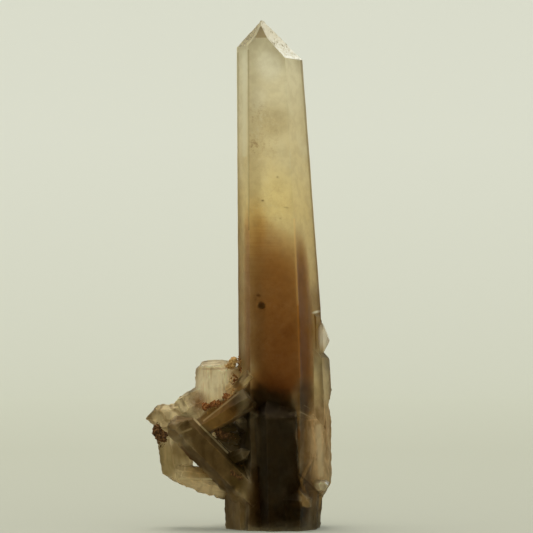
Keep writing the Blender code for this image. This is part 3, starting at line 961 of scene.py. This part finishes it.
@dataclass
class QuartzSkin:
    """The quartz itself: the solid's own faces, cut into an even net and worn as natural faces are.

    Attributes:
        net: Spacing of the net over the whole piece, in millimetres.
        foot_clear: Height of the flat base's rim, which stays as it is, in millimetres.
        tip_height: Height that the etched end faces start above, in millimetres.
        cluster_top: Height of the cluster's top, in millimetres.
        cluster_right: X of the cluster's right side, in millimetres.
        foot_top: Height of the stout growths round the foot, in millimetres.
        sharp: Degrees of the corners that count as outer edges.
        sliver: Area of the facets that are too thin to judge a corner by, in square millimetres.
    """

    net: float = 0.6
    foot_clear: float = 0.4
    tip_height: float = 137.0
    cluster_top: float = 50.0
    cluster_right: float = -10.5
    foot_top: float = 42.0
    sharp: float = 18.0
    sliver: float = 0.01

    def build(self) -> Piece:
        """Models the quartz.

        Returns:
            The piece, with its edges marked in an attribute.
        """
        quartz = merged_copy(QUARTZ_NODE, "smoky_quartz")
        self._cut_net(quartz)
        self._mark_edges(quartz)
        edges = [mark.value for mark in quartz.data.attributes[EDGE].data]
        tests = {"free": self._is_free, "cluster": self._is_cluster, "nicked": self._is_cluster,
                 "etched": self._is_etched, "broken": self._is_broken}
        for name, test in tests.items():
            chosen = [vert.index for vert in quartz.data.vertices
                      if test(vert.co, vert.normal) and (name != "nicked" or edges[vert.index])]
            quartz.vertex_groups.new(name=name).add(chosen, 1.0, "ADD")
        for group, height, name, kind, size, settings in WEAR:
            displace(quartz, name, kind, size, height, group=group, **settings)
        return quartz

    def _cut_net(self, quartz: Piece) -> None:
        """Cuts the faces by even planes along each axis, which leaves every facet flat and every edge sharp.

        Args:
            quartz: The merged solid.
        """
        low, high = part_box(QUARTZ_NODE)
        bpy.ops.object.mode_set(mode="EDIT")
        for axis in range(3):
            count = int((high[axis] - low[axis]) / (self.net * MM))
            normal = [float(axis == i) for i in range(3)]
            for step in range(1, count):
                bpy.ops.mesh.select_all(action="SELECT")
                point = low.copy()
                point[axis] += (high[axis] - low[axis]) * step / count
                bpy.ops.mesh.bisect(plane_co=point, plane_no=normal, threshold=1e-5)
        bpy.ops.object.mode_set(mode="OBJECT")

    def _mark_edges(self, quartz: Piece) -> None:
        """Writes an attribute that is one along each outer edge between faces.

        Args:
            quartz: The piece, whose net is cut.
        """
        shape = bmesh.new()
        shape.from_mesh(quartz.data)
        shape.normal_update()
        values = [0.0] * len(shape.verts)
        for edge in shape.edges:
            thin = any(face.calc_area() < self.sliver * MM ** 2 for face in edge.link_faces)
            if thin or len(edge.link_faces) != 2 or not edge.is_convex:
                continue
            if edge.calc_face_angle() > math.radians(self.sharp):
                for vert in edge.verts:
                    values[vert.index] = 1.0
        shape.free()
        quartz.data.attributes.new(EDGE, "FLOAT", "POINT").data.foreach_set("value", values)

    def _is_free(self, place: Vector, facing: Vector) -> bool:
        """Tells whether a place is clear of the flat base."""
        return place.z > self.foot_clear * MM

    def _is_etched(self, place: Vector, facing: Vector) -> bool:
        """Tells whether a place is on one of the tip's etched end faces."""
        return place.z > self.tip_height * MM and facing.z > 0.45 and abs(facing.x) > 0.55

    def _is_cluster(self, place: Vector, facing: Vector) -> bool:
        """Tells whether a place belongs to the side crystals or the foot, clear of the flat base."""
        side = place.x < self.cluster_right * MM or place.z < self.foot_top * MM
        return side and self.foot_clear * MM < place.z < self.cluster_top * MM

    @staticmethod
    def _is_broken(place: Vector, facing: Vector) -> bool:
        """Tells whether a place is on the cluster's broken outer ends: the knob, or the keel from below."""
        knob = place.x < -24.5 * MM and 25 * MM < place.z < 42 * MM
        return knob or (place.x < -10 * MM and 5 * MM < place.z < 15 * MM and facing.z < -0.2)

    def dress(self, quartz: Piece) -> None:
        """Gives the quartz its finish, and has it stand for its solid."""
        finish_piece(quartz, SmokyQuartz().material(), QUARTZ_SLOT, 24.0)
        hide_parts(QUARTZ_NODE)


@dataclass
class Phantom:
    """An earlier, smokier growth of the point that is sealed inside it, faced as the point itself is.

    Attributes:
        name: The piece's name.
        insets: How far each side lies inside the point's own, in millimetres, from the front turning right.
        foot: Height of its lower end, in millimetres.
        tops: Faces that close it, each a place in millimetres and an outward normal.
        tone: Its finish.
        block: Size of the block that it is cut from, in metres.
        measured_at: Height at which the point's sides are found, in millimetres.
        voxel: Spacing of its mesh, in millimetres.
        softness: How often its edges are smoothed.
    """

    name: str
    insets: tuple[float, ...]
    foot: float
    tops: tuple[tuple[Place, Place], ...]
    tone: PhantomTone
    block: float = 0.3
    measured_at: float = 100.0
    voxel: float = 1.0
    softness: int = 12

    def build(self) -> Piece:
        """Cuts the phantom from a block by the point's own faces, moved in, and softens its edges.

        Returns:
            The piece.
        """
        bpy.ops.object.select_all(action="DESELECT")
        middle = mm(0, 0, self.foot) + Vector((0, 0, self.block / 2))
        bpy.ops.mesh.primitive_cube_add(size=self.block, location=middle)
        phantom = bpy.context.object
        phantom.name = self.name
        bpy.ops.object.transform_apply(location=True, rotation=True, scale=True)
        bpy.ops.object.mode_set(mode="EDIT")
        for point, normal in self._sides() + [(mm(*top), Vector(outward)) for top, outward in self.tops]:
            bpy.ops.mesh.select_all(action="SELECT")
            bpy.ops.mesh.bisect(plane_co=point, plane_no=normal, use_fill=True, clear_outer=True)
        bpy.ops.object.mode_set(mode="OBJECT")
        apply_modifier(phantom, "REMESH", mode="VOXEL", voxel_size=self.voxel * MM)
        apply_modifier(phantom, "SMOOTH", factor=0.8, iterations=self.softness)
        return phantom

    def _sides(self) -> list[tuple[Vector, Vector]]:
        """Finds the point's six side faces from the frame and moves them in.

        Returns:
            A place on each side and its outward normal.
        """
        quartz = surface_of(frame["nodes"][QUARTZ_NODE])
        found = []
        for index, inset in enumerate(self.insets):
            turn = math.radians(index * 60)
            outward = Vector((math.sin(turn), -math.cos(turn), 0.0))
            place, normal, _, _ = quartz.ray_cast(mm(0, 0, self.measured_at), outward)
            if place is None:
                raise ValueError(f"{self.name}: the point has no side {index}")
            found.append((place - normal * inset * MM, normal.copy()))
        return found

    def dress(self, phantom: Piece) -> None:
        """Gives the phantom its finish."""
        finish_piece(phantom, self.tone.material(), QUARTZ_SLOT, 80.0)


# The brown heart of the point and the smokier core within it, the smoke in its right side, and its dark root.
PHANTOMS = (
    Phantom("brown_phantom", insets=(1.0, 0.8, 4.0, 1.5, 2.5, 2.0), foot=30.0,
            tops=(((0, 0, 92.0), (0.33, -0.83, 0.49)), ((0, 0, 92.0), (0.33, 0.83, 0.49)),
                  ((0, 0, 37.5), (0.35, 0.0, -0.94))),
            tone=PhantomTone("quartz_phantom_brown", (60.0, 97.0, 138.0))),
    Phantom("smoky_phantom", insets=(2.5, 2.5, 5.0, 3.0, 3.5, 3.0), foot=30.0,
            tops=(((0, 0, 68), (0.1, -0.93, 0.35)), ((0, 0, 68), (0.1, 0.93, 0.35)),
                  ((0, 0, 37.5), (0.35, 0.0, -0.94))),
            tone=PhantomTone("quartz_phantom_smoky", (18.0, 28.0, 38.0))),
    Phantom("flank_smoke", insets=(1.0, 1.6, 4.0, 1.5, 2.5, 0.5), foot=4.0,
            tops=(((8, 0, 43.5), (0.35, -0.45, 0.82)), ((8, 0, 43.5), (0.35, 0.45, 0.82)),
                  ((11.5, -6, 20), (0.86, -0.5, 0.08))),
            tone=PhantomTone("quartz_phantom_flank", (46.0, 68.0, 104.0))),
    Phantom("dark_root", insets=(-1.0, 0.5, 4.5, 1.5, 1.5, 0.5), foot=0.8,
            tops=(((2, 0, 41.6), (0.25, -0.35, 0.9)), ((2, 0, 41.6), (0.25, 0.35, 0.9)),
                  ((8.2, 0, 20), (1, 0, 0.05))),
            tone=PhantomTone("quartz_phantom_dark", (222.0, 258.0, 308.0))),
)


@dataclass
class Crust:
    """A crumbly crust that replaces a CAD node: its solid, swollen on to the quartz and roughened.

    Attributes:
        node: The CAD node that it replaces.
        oxide: What it is made of.
        swell: How far it grows out to sit on the quartz, in millimetres.
        voxel: Spacing of its mesh, in millimetres.
    """

    node: str
    oxide: Oxide
    swell: float = 0.25
    voxel: float = 0.13

    def build(self) -> Piece:
        """Models the crust from its node's solid.

        Returns:
            The piece.
        """
        crust = merged_copy(self.node, self.node + "_crumbs")
        apply_modifier(crust, "REMESH", mode="VOXEL", voxel_size=self.voxel * MM)
        apply_modifier(crust, "DISPLACE", strength=self.swell * MM, mid_level=0.0)
        displace(crust, self.node + "_lumps", "CLOUDS", 1.1, 1.3, noise_depth=2)
        displace(crust, self.node + "_crumbs", "VORONOI", 0.45, -0.7, mid_level=0.3)
        return crust

    def dress(self, crust: Piece) -> None:
        """Gives the crust its finish, and has it stand for its node."""
        finish_piece(crust, self.oxide.material(), self.oxide.slot, 30.0)
        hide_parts(self.node)


CRUSTS = (
    Crust("ochre_crust_top", Oxide.OCHRE),
    Crust("ochre_crust_ledge", Oxide.RUSTY_OCHRE),
    Crust("ochre_crust_foot", Oxide.RUSTY_OCHRE),
    Crust("rust_crust_tip", Oxide.RUST),
    Crust("rust_crust_hollow", Oxide.RUST),
)


def crumpled_grain(name: str, dice: random.Random) -> Piece:
    """Models one uneven grain, a millimetre across, at the origin.

    Args:
        name: The object's name.
        dice: What its unevenness is drawn from.

    Returns:
        The grain.
    """
    bpy.ops.object.select_all(action="DESELECT")
    bpy.ops.mesh.primitive_ico_sphere_add(subdivisions=1, radius=0.5 * MM)
    grain = bpy.context.object
    grain.name = name
    for vert in grain.data.vertices:
        vert.co *= dice.uniform(0.7, 1.25)
    return grain


@dataclass
class Trail:
    """Small things strewn along a gap, each on the nearest face.

    Attributes:
        name: The piece's name.
        path: Places that the gap passes through, in millimetres.
        spread: How far they stray from it, in millimetres.
        count: How many there are.
        sizes: The smallest and the largest, in millimetres.
        seed: Seed of their places.
    """

    name: str
    path: tuple[Place, ...]
    spread: float
    count: int
    sizes: tuple[float, float]
    seed: int

    def spot(self, ground: BVHTree, dice: random.Random) -> tuple[Vector, Vector]:
        """Draws the next place.

        Args:
            ground: The faces that they lie on.
            dice: What the place is drawn from.

        Returns:
            The place and its face's normal.
        """
        along = dice.uniform(0, len(self.path) - 1)
        leg = min(int(along), len(self.path) - 2)
        wanted = mm(*self.path[leg]).lerp(mm(*self.path[leg + 1]), along - leg)
        wanted += Vector([dice.gauss(0, self.spread / 2) * MM for _ in range(3)])
        return ground.find_nearest(wanted)[:2]

    def strew(self, kinds: list[Piece], moves: list[tuple[Piece, Matrix]]) -> Piece:
        """Copies each kind to its places, and joins the copies.

        Args:
            kinds: The objects that are copied, which are then removed.
            moves: For each copy, its kind and its move from the origin.

        Returns:
            The joined piece.
        """
        copies = []
        for kind, move in moves:
            copies.append(new_object(self.name, kind.data.copy()))
            copies[-1].data.transform(move)
        for kind in kinds:
            bpy.data.objects.remove(kind)
        return join_all(copies, self.name)


@dataclass
class GrainTrail(Trail):
    """Loose grains of oxide that settled along a gap.

    Attributes:
        oxide: What they are made of.
    """

    oxide: Oxide = Oxide.RUST

    def build(self, ground: BVHTree) -> Piece:
        """Scatters the grains.

        Args:
            ground: The faces that they lie on.

        Returns:
            The piece.
        """
        dice = random.Random(self.seed)
        kinds = [crumpled_grain(f"{self.name}_{i}", dice) for i in range(4)]
        moves = []
        for _ in range(self.count):
            place, facing = self.spot(ground, dice)
            size = dice.uniform(*self.sizes) * dice.uniform(0.6, 1.0)
            kind = dice.choice(kinds)
            stretch = Matrix.Diagonal([size * dice.uniform(0.7, 1.4) for _ in range(3)]).to_4x4()
            turn = Matrix.Rotation(dice.uniform(0, 6.28), 4, Vector((dice.random(), dice.random(), 1)))
            moves.append((kind, Matrix.Translation(place + facing * size * 0.15 * MM) @ turn @ stretch))
        return self.strew(kinds, moves)

    def dress(self, grains: Piece) -> None:
        """Gives the grains their finish."""
        finish_piece(grains, self.oxide.material(), self.oxide.slot, 10.0)


@dataclass
class FibreTuft(Trail):
    """A tuft of ochre fibres: fine blades that stand out of a crust in all directions.

    Attributes:
        thickness: Thickness at the root, in millimetres.
    """

    thickness: float = 0.2

    def build(self, ground: BVHTree) -> Piece:
        """Plants the fibres.

        Args:
            ground: The faces that they stand on.

        Returns:
            The piece.
        """
        dice = random.Random(self.seed)
        bpy.ops.object.select_all(action="DESELECT")
        bpy.ops.mesh.primitive_cone_add(vertices=4, radius1=0.5 * MM, radius2=0.12 * MM, depth=1 * MM,
                                        location=(0, 0, 0.5 * MM))
        blade = bpy.context.object
        bpy.ops.object.transform_apply(location=True, rotation=True, scale=True)
        moves = []
        for _ in range(self.count):
            place, facing = self.spot(ground, dice)
            lean = (facing + Vector([dice.gauss(0, 0.7) for _ in range(3)])).normalized()
            width = self.thickness * dice.uniform(0.6, 1.4)
            stretch = Matrix.Diagonal((width, width * 0.5, dice.uniform(*self.sizes), 1.0))
            turn = lean.to_track_quat("Z", "Y").to_matrix().to_4x4()
            moves.append((blade, Matrix.Translation(place - lean * 0.1 * MM) @ turn @ stretch))
        return self.strew([blade], moves)

    def dress(self, fibres: Piece) -> None:
        """Gives the fibres their finish."""
        finish_piece(fibres, Oxide.OCHRE.material(), OCHRE_SLOT, 30.0)


TRAILS = (
    GrainTrail("ochre_seam_grains", ((-11.0, -5, 50.4), (-10.4, -5.5, 46.5), (-11.0, -6, 43.0)), 0.8, 320,
               (0.15, 0.55), 3, Oxide.RUSTY_OCHRE),
    GrainTrail("ochre_ledge_grains", ((-19.5, -8, 35.4), (-15.5, -9.5, 37.6), (-11.5, -10, 41.0)), 0.7, 260,
               (0.1, 0.35), 5, Oxide.RUSTY_OCHRE),
    GrainTrail("rust_tip_grains", ((-34.0, -4, 29.8), (-32.8, -4.5, 27.0), (-33.6, -4, 24.5)), 1.4, 320,
               (0.1, 0.45), 9),
    GrainTrail("crevice_grains", ((-12.2, -10, 17.2), (-10.6, -10.5, 16.2), (-8.8, -11, 15.0)), 0.7, 200,
               (0.12, 0.4), 11),
    GrainTrail("rust_by_the_hole", ((-22.9, -7, 19.8), (-22.0, -7.5, 18.7)), 0.5, 70, (0.1, 0.35), 17),
    GrainTrail("hollow_grains", ((-16.6, -7, 29.6), (-14.0, -7, 26.8), (-11.6, -7.5, 27.4)), 1.4, 160,
               (0.1, 0.4), 13),
    FibreTuft("ochre_top_fibres", ((-12.6, -4.6, 48.4), (-10.8, -5.4, 49.8), (-10.6, -5.6, 47.0)), 0.9, 150,
              (0.5, 1.6), 31, 0.22),
    FibreTuft("ochre_ledge_fibres", ((-13.6, -9, 38.6), (-11.2, -9.4, 41.2)), 0.8, 80, (0.4, 1.2), 33),
    FibreTuft("ochre_foot_fibres", ((-19.6, -8.6, 35.8), (-16.0, -9.2, 37.2)), 0.8, 80, (0.4, 1.1), 35),
)


@dataclass
class Flecks:
    """Dark flecks sealed a little way under the faces: a large one half-way up the brown, and small ones.

    Attributes:
        spots: Each fleck's X and Z, width, height and depth under its face, in millimetres.
        thickness: Their thickness, in millimetres.
        seed: Seed of their unevenness.
    """

    spots: tuple[tuple[float, ...], ...] = (
        (-3.0, 65.8, 2.8, 2.8, 1.0), (-3.9, 68.8, 2.0, 0.9, 0.7), (-5.0, 67.6, 0.8, 0.6, 0.7),
        (-7.9, 106.9, 0.5, 0.8, 0.3), (-2.8, 96.5, 0.7, 0.5, 0.4), (3.7, 94.6, 0.5, 0.3, 0.5),
        (4.4, 94.4, 0.4, 0.5, 0.4), (0.3, 56.6, 0.8, 0.7, 0.5), (1.6, 103.4, 0.4, 0.5, 0.3),
        (2.4, 91.2, 0.5, 0.4, 0.3), (-9.4, 90.6, 0.6, 0.5, 0.3), (-6.0, 117.2, 0.5, 0.4, 0.3),
    )
    thickness: float = 0.35
    seed: int = 21

    def build(self, ground: BVHTree) -> Piece:
        """Models each fleck as a crumpled flake behind the face over it.

        Args:
            ground: The quartz's faces.

        Returns:
            The flecks as one piece.
        """
        dice = random.Random(self.seed)
        flecks = []
        for across, height, wide, tall, depth in self.spots:
            place, facing, _, _ = ground.ray_cast(mm(across, -40, height), Vector((0, 1, 0)))
            fleck = crumpled_grain("fleck", dice)
            fleck.data.transform(Matrix.Diagonal((wide, self.thickness, tall, 1.0)))
            fleck.data.transform(Matrix.Translation(place - facing * depth * MM))
            flecks.append(fleck)
        return join_all(flecks, "sealed_flecks")

    def dress(self, flecks: Piece) -> None:
        """Gives the flecks their finish."""
        finish_piece(flecks, SealedIron().material(), RUST_SLOT, 60.0)


# --- Studio ------------------------------------------------------------------------------------------


@dataclass(frozen=True)
class PalePaper:
    """Matt pale paper that glows a little by itself, so that it stays even.

    Attributes:
        colour: Its own colour.
        glow: Its glow from the middle of the floor to the top of the wall.
        run: Length of that way, in metres.
        dimmed: Share of the glow in front of the object.
        strength: Strength of the glow.
    """

    colour: str = "9c9d92"
    glow: tuple[tuple[float, str], ...] = ((0.0, "70726a"), (0.16, "888a7c"), (0.36, "b4b6a6"), (0.6, "dcded4"),
                                           (1.0, "eef0e8"))
    run: float = 2.4
    dimmed: float = 0.42
    strength: float = 0.52

    def material(self) -> bpy.types.Material:
        """Makes the paper's material.

        Returns:
            The material.
        """
        net = Net("pale_paper")
        flat = net.add("VectorMath", net.place, (1.0, 1.0, 0.0), operation="MULTIPLY")
        reach = net.add("VectorMath", flat, operation="LENGTH")
        share = net.add("MapRange", net.add("Math", reach, net.height, operation="ADD"), 0.0, self.run)
        depth = net.add("SeparateXYZ", net.place, output="Y")
        front = net.add("MapRange", depth, -1.2, 0.1, self.dimmed, 1.0, **SMOOTH)
        glow = net.add("ValToRGB", share, stops=self.glow)
        net.fill(net.shader, {
            "Base Color": self.colour,
            "Roughness": 0.8,
            "Specular IOR Level": 0.1,
            "Emission Color": net.add("VectorMath", glow, front, operation="SCALE"),
            "Emission Strength": self.strength,
        })
        return net.material


@dataclass
class Studio:
    """A plain pale sweep round the object, soft light and the camera.

    Attributes:
        floor_radius: Radius of the level floor, in metres.
        curve: Radius of the sweep's bend, in metres.
        wall: Height of the wall above the bend, in metres.
        steps: Steps of the bend.
        sky: Colour of the sky.
        sky_strength: Strength of the sky.
        softbox_size: Width of the light overhead, in metres.
        softbox_power: Its power, in watts.
        softbox_colour: Its colour.
        softbox_place: Its place, in metres.
        softbox_aim: Height that it aims at, in millimetres.
        camera_distance: Distance of the camera, in metres.
        camera_aim: X and Z of the camera, in millimetres.
        lens: Its focal length, in millimetres.
        sensor: Width of its sensor, in millimetres.
    """

    floor_radius: float = 0.9
    curve: float = 0.5
    wall: float = 1.0
    steps: int = 14
    sky: str = "f2f3ea"
    sky_strength: float = 1.15
    softbox_size: float = 0.55
    softbox_power: float = 9.0
    softbox_colour: str = "fffaf0"
    softbox_place: Place = (-0.15, 0.1, 1.25)
    softbox_aim: float = 75.0
    camera_distance: float = 0.9
    camera_aim: tuple[float, float] = (-1.62, 77.2)
    lens: float = 205.8
    sensor: float = 36.0

    def build(self) -> None:
        """Makes the sweep, the lights and the camera."""
        self._sweep()
        self._lights()
        self._camera()

    def _sweep(self) -> None:
        """Models the sweep: a disc whose rim is drawn out in a bend and up as a wall."""
        bpy.ops.object.select_all(action="DESELECT")
        bpy.ops.mesh.primitive_circle_add(vertices=96, radius=self.floor_radius, fill_type="NGON")
        sweep = bpy.context.object
        sweep.name = "studio_sweep"
        bpy.ops.object.mode_set(mode="EDIT")
        bpy.ops.mesh.select_all(action="SELECT")
        bpy.ops.mesh.inset(thickness=self.floor_radius * 0.98)
        bpy.ops.mesh.select_mode(type="EDGE")
        shape = bmesh.from_edit_mesh(sweep.data)
        for edge in shape.edges:
            edge.select_set(edge.is_boundary)
        bmesh.update_edit_mesh(sweep.data)
        radius, height = self.floor_radius, 0.0
        for step in range(1, self.steps + 2):
            turn = math.radians(90) * min(step / self.steps, 1.0)
            new_radius = self.floor_radius + self.curve * math.sin(turn)
            new_height = self.curve * (1 - math.cos(turn)) + (self.wall if step > self.steps else 0.0)
            bpy.ops.mesh.extrude_edges_move(TRANSFORM_OT_translate={"value": (0, 0, new_height - height)})
            scale = new_radius / radius
            bpy.ops.transform.resize(value=(scale, scale, 1.0), center_override=(0, 0, 0))
            radius, height = new_radius, new_height
        bpy.ops.object.mode_set(mode="OBJECT")
        bpy.ops.object.shade_smooth()
        sweep.data.materials.append(PalePaper().material())

    def _lights(self) -> None:
        """Adds the soft overhead light and the sky."""
        world = bpy.data.worlds.new("soft_sky")
        bpy.context.scene.world = world
        world.use_nodes = True
        background = world.node_tree.nodes["Background"]
        background.inputs["Color"].default_value = linear(self.sky)
        background.inputs["Strength"].default_value = self.sky_strength
        light = bpy.data.lights.new("overhead_softbox", "AREA")
        light.shape = "SQUARE"
        light.size = self.softbox_size
        light.energy = self.softbox_power
        light.color = linear(self.softbox_colour)[:3]
        lamp = new_object(light.name, light)
        lamp.location = self.softbox_place
        lamp.rotation_mode = "QUATERNION"
        lamp.rotation_quaternion = (lamp.location - mm(0, 0, self.softbox_aim)).to_track_quat("Z", "Y")

    def _camera(self) -> None:
        """Adds the camera, level and square on to the point's broad face."""
        data = bpy.data.cameras.new("camera")
        data.lens = self.lens
        data.sensor_width = self.sensor
        data.clip_start = 0.05
        camera = new_object("camera", data)
        camera.location = (self.camera_aim[0] * MM, -self.camera_distance, self.camera_aim[1] * MM)
        camera.rotation_euler = (math.radians(90), 0, 0)
        bpy.context.scene.camera = camera
        bpy.context.scene.view_settings.view_transform = "Standard"


def make(part: QuartzSkin | Phantom | Crust | Trail | Flecks, *ground: BVHTree) -> Piece:
    """Builds one part, dresses it and reports it.

    Args:
        part: The part.
        ground: The quartz's faces, for a part that lies on them or under them.

    Returns:
        The finished piece.
    """
    piece = part.build(*ground)
    part.dress(piece)
    piece.data.calc_loop_triangles()
    log.info("%s: %d triangles", piece.name, len(piece.data.loop_triangles))
    return piece


def main() -> None:
    """Builds the pieces in order and reports each one."""
    logging.basicConfig(level=logging.INFO, format="%(name)s: %(message)s")
    ground = surface_of(make(QuartzSkin()))
    for part in (*PHANTOMS, *CRUSTS):
        make(part)
    for part in (*TRAILS, Flecks()):
        make(part, ground)
    Studio().build()


if __name__ == "__main__":
    main()
